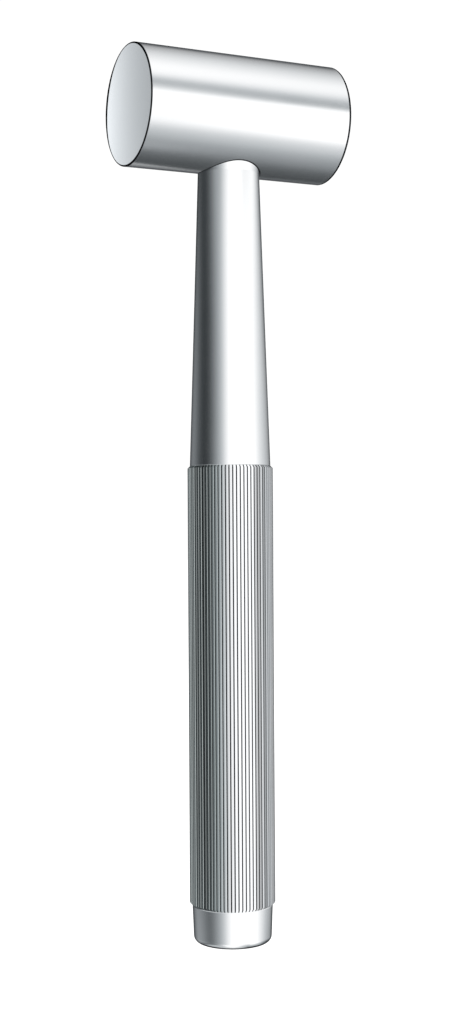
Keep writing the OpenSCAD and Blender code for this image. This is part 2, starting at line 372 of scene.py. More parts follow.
def build_grip():
    row = flute_row()
    ang, rad = [], []
    for k in range(FLUTES):
        for s, d in row:
            ang.append((k + s) * 2 * math.pi / FLUTES)
            rad.append(GRIP_R - d)
    m = len(ang)
    zs = [GRIP_Z0 + CHAMFER * i / 12 for i in range(13)]
    zs += [GRIP_Z0 + CHAMFER + 0.1 + (GRIP_Z1 - GRIP_Z0 - 2 * CHAMFER - 0.2) * i / 14 for i in range(15)]
    zs += [GRIP_Z1 - CHAMFER * i / 12 for i in range(12, -1, -1)]
    def cone(z):
        return GRIP_R - CHAMFER + min(z - GRIP_Z0, GRIP_Z1 - z)
    verts, faces, rings = [], [], []
    for z in zs:
        rings.append(list(range(len(verts), len(verts) + m)))
        verts += [(min(rad[j], cone(z)) * math.cos(ang[j]), min(rad[j], cone(z)) * math.sin(ang[j]), z) for j in range(m)]
    inner = [(BORE_R, GRIP_Z1), (BORE_R, GRIP_Z1 - 14), (MID_R, GRIP_Z1 - 14), (MID_R, LEDGE_Z), (BORE_R, LEDGE_Z), (BORE_R, GRIP_Z0)]
    inner = [(BORE_R + 0.25, GRIP_Z1), (BORE_R, GRIP_Z1 - 0.25)] + inner[1:5] + [(BORE_R, GRIP_Z0 + 0.25), (BORE_R + 0.25, GRIP_Z0)]
    for r, z in inner:
        rings.append(list(range(len(verts), len(verts) + m)))
        verts += [(r * math.cos(a), r * math.sin(a), z) for a in ang]
    for i in range(len(rings)):
        a, b = rings[i], rings[(i + 1) % len(rings)]
        for j in range(m):
            k = (j + 1) % m
            faces.append((a[j], a[k], b[k], b[j]))
    ob = new_object("grip_fluted", verts, faces)
    cut(ob, block(-1.02, 1.02, -BORE_R - 0.6, -BORE_R + 1.4, GRIP_Z1 - 13, GRIP_Z1 + 1))
    runs = line(*inner)
    spans = [s for run in runs for s in zip(run, run[1:])]
    cones = [s for run in line((GRIP_R - CHAMFER, GRIP_Z0), (GRIP_R + 0.1, GRIP_Z0 + CHAMFER + 0.1)) +
             line((GRIP_R + 0.1, GRIP_Z1 - CHAMFER - 0.1), (GRIP_R - CHAMFER, GRIP_Z1)) for s in zip(run, run[1:])]
    corner = np.array([[r * math.cos(a), r * math.sin(a)] for a, r in zip(ang, rad)])
    def flute_surface(p, f):
        """Exact normals of the fluted section: each facet's own, blended over the crown and the flute's floor."""
        nxt = np.roll(corner, -1, 0) - corner
        en = np.column_stack([nxt[:, 1], -nxt[:, 0]])
        en /= np.linalg.norm(en, axis=1)[:, None]
        th = np.arctan2(p[:, 1], p[:, 0]) % (2 * math.pi)
        base = np.array(ang) % (2 * math.pi)
        order = np.argsort(base)
        pos = np.searchsorted(base[order], th)
        cand = [order[(pos - 1) % m], order[pos % m]]
        gap = [abs((base[c] - th + math.pi) % (2 * math.pi) - math.pi) for c in cand]
        near = np.where(gap[0] < gap[1], cand[0], cand[1])
        e0, e1 = en[(near - 1) % m], en[near]
        step = (e0 * e1).sum(1)
        smooth = e0 + e1
        smooth /= np.linalg.norm(smooth, axis=1)[:, None]
        own = np.where((e0 * f[:, :2]).sum(1)[:, None] > (e1 * f[:, :2]).sum(1)[:, None], e0, e1)
        n2 = np.where((step > math.cos(math.radians(14)))[:, None], smooth, own)
        n = np.column_stack([n2, np.zeros(len(p))])
        fit = (n * f).sum(1)
        outer = np.hypot(p[:, 0], p[:, 1]) > GRIP_R - CHAMFER - 0.01
        hit = outer & (abs(f[:, 2]) < 0.25) & (fit > 0.85)
        eased = outer & (abs(f[:, 2]) >= 0.25) & (abs(f[:, 2]) < 0.85)
        return np.where(eased, 1.5, np.where(hit, fit + 0.2, 0.80)), np.where((hit | eased)[:, None], n, 0.0)
    dress(ob, [lathe_surface(spans + cones, "Z", (0, 0, 0)), flute_surface])
    return piece(ob, "hammer", "fluted_steel", "grip_sleeve")


def build_cap():
    e, z0 = CAP_ROUND, GRIP_Z0
    gz = z0 + 4.2
    bore = ROD_R + 0.05
    runs = line((0, 0), (3.2, 0), (CAP_RE - e, 0)) + arc(CAP_RE - e, e, e, -90, 0, 20)
    n = 8
    runs += line(*[(CAP_RE + (CAP_RT - CAP_RE) * i / n, e + (z0 - 0.2 - e) * i / n) for i in range(n + 1)])
    runs += line((CAP_RT, z0 - 0.2), (CAP_RT - 0.2, z0), (SPIGOT_R, z0), *groove(SPIGOT_R, BORE_R - CORD, gz),
                 (SPIGOT_R, CAP_TOP - 0.5), (SPIGOT_R - 0.5, CAP_TOP), (bore + 0.8, CAP_TOP), (bore, CAP_TOP - 0.7),
                 (bore, ROD_Z0 - 0.9), (0, ROD_Z0 - 0.9))
    ob, surf = lathe("butt_cap_turned", runs, TURN)
    sw, sl, sd = 1.2, 5.3, 1.8
    n = 24
    foot = [(sl + sw * math.sin(math.pi * i / n), -sw * math.cos(math.pi * i / n)) for i in range(n + 1)]
    foot += [(-x, -y) for x, y in foot]
    levels = [(0.18, -1.0), (0.18, 0.0), (0.0, 0.18), (0.0, sd)]
    verts, faces = [], []
    for grow, z in levels:
        for i, (x, y) in enumerate(foot):
            s = 1 if i <= n else -1
            t = math.pi * (i if i <= n else i - n - 1) / n
            verts.append((x + s * grow * math.sin(t), y - s * grow * math.cos(t), z))
    m = len(foot)
    for k in range(len(levels) - 1):
        for i in range(m):
            j = (i + 1) % m
            faces.append((k * m + i, k * m + j, (k + 1) * m + j, (k + 1) * m + i))
    faces.append(tuple(range(m - 1, -1, -1)))
    faces.append(tuple(range((len(levels) - 1) * m, len(levels) * m)))
    tool = new_object("tool", verts, faces)
    cut(ob, tool)
    surf += [round_wall((sl, 0, 0), (0, 0, 1), sw), round_wall((-sl, 0, 0), (0, 0, 1), sw)]
    dress(ob, surf)
    return piece(ob, "butt_cap", "polished_steel", "end_cap")


def thread_depth_at(phase):
    """Depth below the crest at a phase of one pitch: crest flat, flank, root, flank."""
    d = 0.55 * PITCH
    if phase < 0.14:
        return 0.0
    if phase < 0.48:
        return d * (phase - 0.14) / 0.34
    if phase < 0.66:
        return d
    return d * (1 - (phase - 0.66) / 0.34)


def build_rod():
    seg = 96
    d = 0.55 * PITCH
    low_top, high_low = CAP_TOP + 1.2, SOCKET_Z + 1.0
    zs = [ROD_Z0, ROD_Z0 + 0.08]
    step = PITCH / 18
    k = 1
    while ROD_Z0 + 0.08 + k * step < low_top + 0.8:
        zs.append(ROD_Z0 + 0.08 + k * step)
        k += 1
    zs += [low_top + 0.8, low_top + 1.0]
    zs += [low_top + 1.0 + (high_low - 1.0 - low_top - 1.0) * i / 10 for i in range(1, 11)]
    zs += [high_low - 0.8]
    k = 1
    while high_low - 0.8 + k * step < ROD_Z1 - 0.05:
        zs.append(high_low - 0.8 + k * step)
        k += 1
    zs += [ROD_Z1]
    def radius(a, z):
        if low_top + 0.8 <= z <= high_low - 0.8:
            return SHANK_R
        r = ROD_R - thread_depth_at(((z - ROD_Z0) / PITCH - a / (2 * math.pi)) % 1.0)
        lead = min(z - ROD_Z0, ROD_Z1 - z)
        r = min(r, ROD_R - d + 0.05 + max(lead, 0) * 1.0)
        if z > low_top and z < high_low:
            t = (low_top + 0.8 - z) / 0.8 if z < 100 else (z - high_low + 0.8) / 0.8
            t = min(max(t, 0), 1)
            r = min(r, SHANK_R + (ROD_R - SHANK_R) * t)
            r = max(r, ROD_R - d if t > 0.3 else SHANK_R - 0.09)
        return r
    verts, rings = [(0, 0, ROD_Z0)], [[0] * seg]
    for z in zs:
        rings.append(list(range(len(verts), len(verts) + seg)))
        verts += [(radius(2 * math.pi * j / seg, z) * math.cos(2 * math.pi * j / seg),
                   radius(2 * math.pi * j / seg, z) * math.sin(2 * math.pi * j / seg), z) for j in range(seg)]
    rings.append([len(verts)] * seg)
    verts.append((0, 0, ROD_Z1))
    faces = []
    for a, b in zip(rings, rings[1:]):
        for j in range(seg):
            k, face = (j + 1) % seg, []
            for v in (a[j], a[k], b[k], b[j]):
                if v not in face:
                    face.append(v)
            faces.append(face)
    ob = new_object("draw_rod_threaded", verts, faces)
    cut(ob, drill(PIN_R + SEAT, -6, 6, axis="Y", at=(0, 0, PIN_Z), seg=64))
    for p in ob.data.polygons:
        p.use_smooth = True
    ob.data.set_sharp_from_angle(angle=math.radians(38))
    return piece(ob, "hammer", "rod_steel", "draw_rod")


def seal_ring(name, floor_r, z, body, node):
    """A ring of round cord, a little flattened where it bears."""
    minor, c = CORD / 2 - SEAT, floor_r + SEAT + (CORD / 2)
    pts, m = [], 40
    for i in range(m):
        a = 2 * math.pi * i / m
        x, y = math.cos(a), math.sin(a)
        r = minor * (1 - 0.03 * x ** 8)
        flash = 0.012 if i % (m // 2) == 0 else 0.0
        pts.append((c + (r + flash) * x - flash * x, z + r * y * 1.0))
    runs = []
    for i in range(m):
        p, q = pts[i], pts[(i + 1) % m]
        a, b = 2 * math.pi * i / m, 2 * math.pi * (i + 1) / m
        runs.append([(*p, math.cos(a), math.sin(a)), (*q, math.cos(b), math.sin(b))])
    ob, surf = lathe(name, runs, 192, closed=True)
    dress(ob, surf)
    return piece(ob, body, "seal_rubber", node)


def build_springs():
    """Two disc springs rim to rim, edges rounded as blanked and tumbled."""
    t = 0.5
    h = (LEDGE_Z - CAP_TOP - 0.06) / 2 - t
    ri, ro, z0 = ROD_R + 0.3, SPIGOT_R - 0.15, CAP_TOP + 0.02
    e = 0.10
    def disc(za, zb, name):
        """Ring section from inner height za to outer height zb, thickness t, edges broken by e."""
        s = (zb - za) / (ro - ri)
        z = lambda r: za + s * (r - ri)
        runs = line((ri, z(ri) + e), (ri + e, z(ri + e)), (ro - e, z(ro - e)), (ro, z(ro) + e), (ro, z(ro) + t - e),
                    (ro - e, z(ro - e) + t), (ri + e, z(ri + e) + t), (ri, z(ri) + t - e), (ri, z(ri) + e))
        ob, surf = lathe(name, runs, 192, closed=True)
        return dress(ob, surf)
    low = disc(z0, z0 + h, "disc_spring_lower")
    high = disc(z0 + 2 * h + t + 0.02, z0 + h + t + 0.02, "disc_spring_upper")
    piece(low, "spring_stack", "spring_steel", "disc_springs")
    piece(high, "spring_stack", "spring_steel", "disc_springs")


def build_bush():
    """Centring bush: a tube with four rounded vent grooves and broken edges."""
    zc = (LEDGE_Z + GRIP_Z1 - 13) / 2
    r0, ri, e = MID_R - SEAT, SHANK_R + SEAT, 0.35
    m = 192
    def outer(a):
        x = math.inf
        for q in (45, 135, 225, 315):
            da = (a - math.radians(q) + math.pi) % (2 * math.pi) - math.pi
            if abs(da) < 0.5:
                y = abs(MID_R * math.sin(da))
                if y < 1.4:
                    x = min(x, MID_R * math.cos(da) - math.sqrt(1.96 - y * y))
        return min(r0, x)
    ang = [2 * math.pi * j / m for j in range(m)]
    rad = [outer(a) for a in ang]
    verts, rings = [], []
    for inset, z in ((e, zc - 7), (0, zc - 7 + e), (0, zc), (0, zc + 7 - e), (e, zc + 7)):
        rings.append(list(range(len(verts), len(verts) + m)))
        verts += [((r - inset) * math.cos(a), (r - inset) * math.sin(a), z) for a, r in zip(ang, rad)]
    for inset, z in ((e, zc + 7), (0, zc + 7 - e), (0, zc - 7 + e), (e, zc - 7)):
        rings.append(list(range(len(verts), len(verts) + m)))
        verts += [((ri + inset) * math.cos(a), (ri + inset) * math.sin(a), z) for a in ang]
    faces = []
    for i in range(len(rings)):
        a, b = rings[i], rings[(i + 1) % len(rings)]
        faces += [(a[j], a[(j + 1) % m], b[(j + 1) % m], b[j]) for j in range(m)]
    ob = new_object("centring_bush", verts, faces)
    for p in ob.data.polygons:
        p.use_smooth = True
    ob.data.set_sharp_from_angle(angle=math.radians(30))
    return piece(ob, "hammer", "bush_plastic", "rod_centring_bush")


def build_dowel():
    z0, r, e = SOCKET_Z - 2.9, DOWEL_R, 0.2
    runs = line((0, z0), (r - e, z0)) + arc(r - e, z0 + e, e, -90, 0, 5) + line((r, z0 + e), (r, z0 + 5.8 - e))
    runs += arc(r - e, z0 + 5.8 - e, e, 0, 90, 5) + line((r - e, z0 + 5.8), (0, z0 + 5.8))
    ob, surf = lathe("neck_dowel_pin", runs, 64, at=(DOWEL_X, 0, 0))
    dress(ob, surf)
    return piece(ob, "hammer", "pin_steel", "neck_dowel")


def build_key():
    y0 = -BORE_R - 0.55
    ob = block(-1, 1, y0, y0 + 1.75, GRIP_Z1 - 12.9, GRIP_Z1 - 7.7, name="parallel_key")
    bm = bmesh.new()
    bm.from_mesh(ob.data)
    ends = [e for e in bm.edges]
    bmesh.ops.bevel(bm, geom=ends, offset=0.12 * MM, segments=3, profile=0.5, affect="EDGES")
    bm.to_mesh(ob.data)
    bm.free()
    for p in ob.data.polygons:
        p.use_smooth = True
    ob.data.set_sharp_from_angle(angle=math.radians(25))
    return piece(ob, "hammer", "pin_steel", "grip_key")


build_head()
build_lock_pin()
build_neck()
build_grip()
build_cap()
build_rod()
build_springs()
build_bush()
build_dowel()
build_key()
seal_ring("neck_seal", NECK_RT + SEAT - CORD, SOCKET_Z - 2.4, "hammer", "neck_seal_ring")
seal_ring("grip_seal", BORE_R - CORD, GRIP_Z1 - 4.5, "hammer", "grip_seal_ring")
seal_ring("cap_seal", BORE_R - CORD, GRIP_Z0 + 4.2, "butt_cap", "cap_seal_ring")


# ---------------------------------------------------------------- materials
class Graph:
    """Short-hand for building a node tree."""

    def __init__(self, tree):
        self.t = tree

    def add(self, kind, inputs=None, **props):
        n = self.t.nodes.new(kind)
        for k, v in props.items():
            setattr(n, k, v)
        for k, v in (inputs or {}).items():
            self.put(n.inputs[k], v)
        return n

    def put(self, socket, value):
        if isinstance(value, bpy.types.NodeSocket):
            self.t.links.new(value, socket)
        else:
            socket.default_value = value

    def math(self, op, a, b=0.0, c=0.0, clamp=False):
        n = self.add("ShaderNodeMath", operation=op, use_clamp=clamp)
        for i, v in enumerate((a, b, c)):
            self.put(n.inputs[i], v)
        return n.outputs[0]

    def ramp(self, fac, stops, interpolation="LINEAR"):
        """A colour ramp from (position, grey or colour) stops."""
        n = self.add("ShaderNodeValToRGB", {0: fac})
        r = n.color_ramp
        r.interpolation = interpolation
        while len(r.elements) > 1:
            r.elements.remove(r.elements[-1])
        for i, (pos, v) in enumerate(stops):
            e = r.elements[0] if i == 0 else r.elements.new(pos)
            e.position = pos
            e.color = (*v, 1) if isinstance(v, tuple) else (v, v, v, 1)
        return n.outputs[0]

    def curve(self, x, points):
        """Piecewise linear function through (x, y) points, of any length."""
        lo, hi = points[0][0], points[-1][0]
        n = self.add("ShaderNodeFloatCurve")
        n.mapping.use_clip = False
        c = n.mapping.curves[0]
        ys = [p[1] for p in points]
        top = max(ys)
        while len(c.points) > 2:
            c.points.remove(c.points[0])
        c.points[0].location = (0, ys[0] / top)
        c.points[-1].location = (1, ys[-1] / top)
        for px, py in points[1:-1]:
            c.points.new((px - lo) / (hi - lo), py / top)
        for p in c.points:
            p.handle_type = "VECTOR"
        n.mapping.update()
        t = self.math("DIVIDE", self.math("SUBTRACT", x, lo), hi - lo, clamp=True)
        self.put(n.inputs["Value"], t)
        return self.math("MULTIPLY", n.outputs[0], top)

    def mix(self, fac, a, b):
        n = self.add("ShaderNodeMix", data_type="RGBA")
        for k, v in ((0, fac), (6, a), (7, b)):
            self.put(n.inputs[k], (*v, 1) if isinstance(v, tuple) and len(v) == 3 else v)
        return n.outputs[2]

    def blend(self, fac, a, b):
        """a + (b - a) * fac, on numbers."""
        return self.math("MULTIPLY_ADD", self.math("SUBTRACT", b, a), fac, a)


def material(name):
    m = bpy.data.materials.new(name)
    m.use_nodes = True
    g = Graph(m.node_tree)
    m.node_tree.nodes.clear()
    out = g.add("ShaderNodeOutputMaterial")
    p = g.add("ShaderNodeBsdfPrincipled")
    m.node_tree.links.new(p.outputs[0], out.inputs[0])
    geo = g.add("ShaderNodeTexCoord").outputs["Object"]
    return m, g, p, geo


def polar(g, geo, axis="Z", z0=0.0):
    """(angle, radius, height along the axis) of the shaded point, in radians and millimetres."""
    s = g.add("ShaderNodeSeparateXYZ", {0: geo})
    x, y, z = (g.math("MULTIPLY", s.outputs[i], 1000.0) for i in range(3))
    if axis == "X":
        x, y, z = y, g.math("SUBTRACT", z, z0), x
    return g.math("ARCTAN2", y, x), g.math("SQRT", g.math("ADD", g.math("MULTIPLY", x, x), g.math("MULTIPLY", y, y))), z


def noise(g, vec, scale, detail=3.0, rough=0.55):
    return g.add("ShaderNodeTexNoise", {"Vector": vec, "Scale": scale, "Detail": detail, "Roughness": rough}).outputs[0]


def vec(g, x, y, z):
    return g.add("ShaderNodeCombineXYZ", {0: x, 1: y, 2: z}).outputs[0]


STEEL = (0.830, 0.842, 0.858)
STEEL_DARK = (0.740, 0.762, 0.795)


def polished(name, axis, z0=0.0, edge=None):
    """Bright polished stainless steel: turned lay round the axis, fine handling scratches and a faint satin cloud."""
    m, g, p, geo = material(name)
    ang, rad, h = polar(g, geo, axis, z0)
    lay = noise(g, vec(g, g.math("MULTIPLY", g.math("COSINE", ang), 0.8), g.math("MULTIPLY", g.math("SINE", ang), 0.8),
                       g.math("MULTIPLY", h, 22.0)), 1.0, 4.0)
    face = noise(g, vec(g, g.math("MULTIPLY", rad, 14.0), g.math("MULTIPLY", ang, 0.6), 3.0), 1.0, 3.0)
    cloud = noise(g, geo, 120.0, 3.0)
    hair = g.add("ShaderNodeTexVoronoi", {"Vector": geo, "Scale": 260.0, "Randomness": 1.0}, feature="DISTANCE_TO_EDGE").outputs[0]
    hair = g.math("SUBTRACT", 1.0, g.math("MULTIPLY", hair, 60.0, clamp=True))
    hair = g.math("MULTIPLY", hair, g.math("GREATER_THAN", noise(g, geo, 900.0, 1.0), 0.60))
    tone = g.math("ADD", g.math("MULTIPLY", cloud, 0.5), g.math("MULTIPLY", lay, 0.5))
    base = g.mix(tone, (0.822, 0.830, 0.838), (0.868, 0.872, 0.877))
    # Painted shade: where the edge mask is set, the base colour goes nearly black.
    if edge:
        mask = edge(g, geo, rad, h)
        base = g.mix(mask, base, (0.018, 0.020, 0.022))
    g.put(p.inputs["Base Color"], base)
    r = g.math("MULTIPLY_ADD", cloud, 0.05, 0.135)
    r = g.math("MULTIPLY_ADD", lay, 0.04, r)
    r = g.math("MULTIPLY_ADD", hair, 0.05, r)
    if edge:
        r = g.math("MULTIPLY_ADD", mask, 0.12, r)
    g.put(p.inputs["Roughness"], r)
    p.inputs["Metallic"].default_value = 1.0
    # Painted dark outline: a near-black specular tint darkens the reflection where the steel turns from the eye.
    p.inputs["Specular Tint"].default_value = (0.05, 0.055, 0.06, 1)
    if axis == "X":
        here = g.add("ShaderNodeNewGeometry")
        facing = g.math("ABSOLUTE", g.add("ShaderNodeVectorMath", {0: here.outputs["Normal"], 1: here.outputs["Incoming"]}, operation="DOT_PRODUCT").outputs["Value"])
        # Where the flat faces are seen edge-on, the tint goes pale, so the painted outline stays off them.
        flat = g.math("MULTIPLY", g.math("GREATER_THAN", g.math("ABSOLUTE", h), HEAD_H - 0.02), g.curve(facing, [(0.26, 1), (0.34, 0)]))
        g.put(p.inputs["Specular Tint"], g.mix(flat, (0.05, 0.055, 0.06), (0.9, 0.9, 0.9)))
    hgt = g.math("ADD", g.math("MULTIPLY", lay, 0.6), g.math("MULTIPLY", face, 0.4))
    b = g.add("ShaderNodeBump", {"Strength": 0.10, "Distance": 0.00002, "Height": g.math("SUBTRACT", hgt, g.math("MULTIPLY", hair, 0.4))})
    g.put(p.inputs["Normal"], b.outputs[0])
    return m


def fluted_steel():
    """Ground fluted grip: lands polished bright, flute floors rougher, fine marks along the flutes. Painted shade:
    flute floors and bore nearly black, lands darker towards the sides and on random flutes; a painted cool reflection
    tint on one side of the lands.
    """
    m, g, p, geo = material("fluted_stainless")
    ang, rad, h = polar(g, geo)
    phase = g.math("PINGPONG", g.math("MULTIPLY", ang, FLUTES / (2 * math.pi)), 0.5)
    hl = (1 - FLUTE_MOUTH) / 2
    out = vec(g, g.math("COSINE", ang), g.math("SINE", ang), 0.0)
    turn = g.add("ShaderNodeVectorMath", {0: out, 1: g.add("ShaderNodeNewGeometry").outputs["Incoming"]}, operation="DOT_PRODUCT").outputs["Value"]
    round_it = vec(g, g.math("MULTIPLY", g.math("SINE", ang), -1.0), g.math("COSINE", ang), 0.0)
    lean = g.add("ShaderNodeVectorMath", {0: round_it, 1: g.add("ShaderNodeNewGeometry").outputs["Incoming"]}, operation="DOT_PRODUCT").outputs["Value"]
    signed = g.math("SUBTRACT", g.math("FRACT", g.math("MULTIPLY_ADD", ang, FLUTES / (2 * math.pi), 0.5)), 0.5)
    away = g.math("LESS_THAN", g.math("MULTIPLY", signed, lean), 0.0)
    # Painted shade: the dark flute floor is widened over the shoulder that turns from the eye.
    lip = g.math("MULTIPLY_ADD", away, g.curve(turn, [(0.2, 0.10), (0.55, 0.08), (0.9, 0.03), (1.0, 0.0)]), phase)
    floor = g.math("MULTIPLY", g.curve(lip, [(hl + 0.01, 0), (hl + 0.04, 1)]), g.math("GREATER_THAN", rad, GRIP_R - CHAMFER - 0.02))
    bore = g.math("LESS_THAN", rad, BORE_R + 0.30)
    along = noise(g, vec(g, g.math("MULTIPLY", g.math("COSINE", ang), 60.0), g.math("MULTIPLY", g.math("SINE", ang), 60.0),
                         g.math("MULTIPLY", h, 0.35)), 1.0, 4.0)
    cloud = noise(g, geo, 160.0, 3.0)
    land = g.mix(cloud, (0.800, 0.815, 0.835), (0.860, 0.868, 0.880))
    # Painted shade: lands darken towards the sides of the grip, where they turn from the eye.
    grazing_shade = g.curve(turn, [(0.0, 0.85), (0.12, 0.60), (0.25, 0.20), (0.45, 0.03), (0.6, 0.0)])
    # Painted reflection: lands that lean towards the eye take a cool tint.
    land = g.mix(g.curve(lean, [(0.05, 0), (0.4, 1)]), land, (0.770, 0.832, 0.826))
    # Painted shade, random in strength from flute to flute, stronger where the grip turns from the eye.
    which = g.math("FLOOR", g.math("MULTIPLY_ADD", ang, FLUTES / (2 * math.pi), 0.5))
    random_flute_shade = g.add("ShaderNodeTexWhiteNoise", {"W": g.math("ADD", which, 17.3)}, noise_dimensions="1D").outputs[0]
    random_flute_shade = g.math("MULTIPLY", g.math("MULTIPLY", random_flute_shade, random_flute_shade), g.curve(turn, [(0.0, 0.80), (0.6, 0.72), (0.9, 0.36), (1.0, 0.18)]))
    grazing_shade = g.math("MAXIMUM", grazing_shade, random_flute_shade)
    land = g.mix(grazing_shade, land, (0.04, 0.043, 0.046))
    # Painted shade: the flute floors and the grip's bore are coloured nearly black.
    groove_shade_colour = g.mix(along, (0.016, 0.019, 0.020), (0.040, 0.045, 0.046))
    g.put(p.inputs["Base Color"], g.mix(g.math("MAXIMUM", floor, bore), land, groove_shade_colour))
    r = g.math("MULTIPLY_ADD", cloud, 0.04, 0.15)
    r = g.math("MULTIPLY_ADD", along, 0.04, r)
    g.put(p.inputs["Roughness"], g.math("MULTIPLY_ADD", floor, 0.16, r))
    p.inputs["Metallic"].default_value = 1.0
    # Painted dark outline: a near-black specular tint darkens the reflection where the lands turn from the eye.
    p.inputs["Specular Tint"].default_value = (0.05, 0.055, 0.06, 1)
    b = g.add("ShaderNodeBump", {"Strength": 0.12, "Distance": 0.00002, "Height": along})
    g.put(p.inputs["Normal"], b.outputs[0])
    return m


def plain_metal(name, light, dark, rough, grain=1200.0, tint=(0.4, 0.42, 0.45)):
    """Machined steel with a fine directional grain and slight stains in its tone."""
    m, g, p, geo = material(name)
    ang, rad, h = polar(g, geo)
    lay = noise(g, vec(g, g.math("COSINE", ang), g.math("SINE", ang), g.math("MULTIPLY", h, 14.0)), 2.0, 4.0)
    cloud = noise(g, geo, 300.0, 4.0)
    speck = noise(g, geo, grain, 2.0)
    g.put(p.inputs["Base Color"], g.mix(cloud, dark, light))
    g.put(p.inputs["Roughness"], g.math("MULTIPLY_ADD", speck, 0.12, g.math("MULTIPLY_ADD", lay, 0.06, rough)))
    p.inputs["Metallic"].default_value = 1.0
    p.inputs["Specular Tint"].default_value = (*tint, 1)
    b = g.add("ShaderNodeBump", {"Strength": 0.25, "Distance": 0.00003, "Height": g.math("ADD", lay, g.math("MULTIPLY", speck, 0.4))})
    g.put(p.inputs["Normal"], b.outputs[0])
    return m


def rubber():
    """Matte black fluoroelastomer, faintly mottled, with a dusty bloom on it."""
    m, g, p, geo = material("seal_elastomer")
    cloud, fine = noise(g, geo, 500.0, 4.0), noise(g, geo, 6000.0, 2.0)
    g.put(p.inputs["Base Color"], g.mix(cloud, (0.016, 0.016, 0.018), (0.040, 0.040, 0.043)))
    g.put(p.inputs["Roughness"], g.math("MULTIPLY_ADD", fine, 0.2, 0.48))
    b = g.add("ShaderNodeBump", {"Strength": 0.3, "Distance": 0.00003, "Height": fine})
    g.put(p.inputs["Normal"], b.outputs[0])
    return m


def bush_plastic():
    """Natural acetal bush, turned: ivory white with fine tool rings and a waxy sheen."""
    m, g, p, geo = material("bush_acetal")
    ang, rad, h = polar(g, geo)
    cloud = noise(g, geo, 250.0, 3.0)
    rings = g.math("SINE", g.math("MULTIPLY", h, 2 * math.pi / 0.18))
    g.put(p.inputs["Base Color"], g.mix(cloud, (0.72, 0.70, 0.63), (0.82, 0.80, 0.74)))
    g.put(p.inputs["Roughness"], g.math("MULTIPLY_ADD", cloud, 0.12, 0.34))
    p.inputs["Subsurface Weight"].default_value = 0.1
    p.inputs["Subsurface Radius"].default_value = (0.0012, 0.0011, 0.0009)
    b = g.add("ShaderNodeBump", {"Strength": 0.3, "Distance": 0.00002, "Height": rings})
    g.put(p.inputs["Normal"], b.outputs[0])
    return m


def head_edges(g, geo, rad, h):
    """Painted shade round both faces: a dark outline over the ground edge break, its width following the view, also
    rougher there; and a painted shadow line at the joint where the neck enters.
    """
    s = g.add("ShaderNodeSeparateXYZ", {0: geo})
    spoke = vec(g, 0.0, s.outputs[1], g.math("SUBTRACT", s.outputs[2], HEAD_Z * MM))
    spoke = g.add("ShaderNodeVectorMath", {0: spoke}, operation="NORMALIZE").outputs[0]
    eye = g.add("ShaderNodeNewGeometry").outputs["Incoming"]
    turned_off = g.add("ShaderNodeVectorMath", {0: spoke, 1: eye}, operation="DOT_PRODUCT").outputs["Value"]
    turned_off = g.math("POWER", g.math("MAXIMUM", g.math("MULTIPLY", turned_off, -1.0), 0.0), 3.5)
    # Painted dark outline round the faces, its screen width kept by the view direction.
    rim = g.math("MULTIPLY_ADD", turned_off, 1.37, g.math("SUBTRACT", rad, HEAD_R - 0.46))
    end_off = g.math("MULTIPLY", g.math("SIGN", h), g.add("ShaderNodeSeparateXYZ", {0: eye}).outputs[0])
    end_off = g.curve(end_off, [(-0.43, 0.69), (0.0, 0.44), (0.43, 0.32)])
    out = g.math("ADD", g.math("SUBTRACT", g.math("ABSOLUTE", h), HEAD_H), end_off)
    corner = g.math("MULTIPLY", g.curve(out, [(0, 0), (0.10, 1)]), g.curve(rim, [(0, 0), (0.10, 1)]))
    x, y = (g.math("MULTIPLY", s.outputs[i], 1000.0) for i in range(2))
    r = g.math("SQRT", g.math("ADD", g.math("MULTIPLY", x, x), g.math("MULTIPLY", y, y)))
    # Painted shadow line round the neck where it enters the head.
    seam = g.math("MULTIPLY", g.curve(r, [(NECK_RT + 0.26, 1), (NECK_RT + 0.42, 0)]),
                  g.math("LESS_THAN", s.outputs[2], (HEAD_Z - 5) * MM))
    return g.math("MAXIMUM", corner, seam)


HEAD_STEEL = polished("polished_stainless_head", "X", HEAD_Z, head_edges)
def cap_edges(g, geo, rad, h):
    """Painted shade in the driver slot and bore of the butt cap, which are also rougher, and a painted dark outline
    under its rounded end, set by the view.
    """
    s = g.add("ShaderNodeSeparateXYZ", {0: geo})
    x, y = (g.math("MULTIPLY", g.math("ABSOLUTE", s.outputs[i]), 1000.0) for i in range(2))
    inside = g.math("MULTIPLY", g.curve(h, [(0.16, 0), (0.5, 1)]), g.math("LESS_THAN", h, 2.0))
    slot = g.math("MULTIPLY", inside, g.math("MULTIPLY", g.math("LESS_THAN", y, 1.30), g.math("LESS_THAN", x, 6.7)))
    bore = g.math("MULTIPLY", g.math("LESS_THAN", rad, ROD_R + 0.10), g.math("GREATER_THAN", h, 2.5))
    here = g.add("ShaderNodeNewGeometry")
    facing = g.math("ABSOLUTE", g.add("ShaderNodeVectorMath", {0: here.outputs["Normal"], 1: here.outputs["Incoming"]}, operation="DOT_PRODUCT").outputs["Value"])
    # Painted dark outline: the rounded end darkens where it turns from the eye.
    foot = g.math("MULTIPLY", g.curve(facing, [(0.42, 0.86), (0.66, 0)]), g.math("MULTIPLY", g.math("LESS_THAN", h, 0.75), g.math("GREATER_THAN", rad, 7.0)))
    return g.math("MAXIMUM", foot, g.math("MAXIMUM", g.math("MULTIPLY", slot, 0.80), g.math("MULTIPLY", bore, 0.85)))


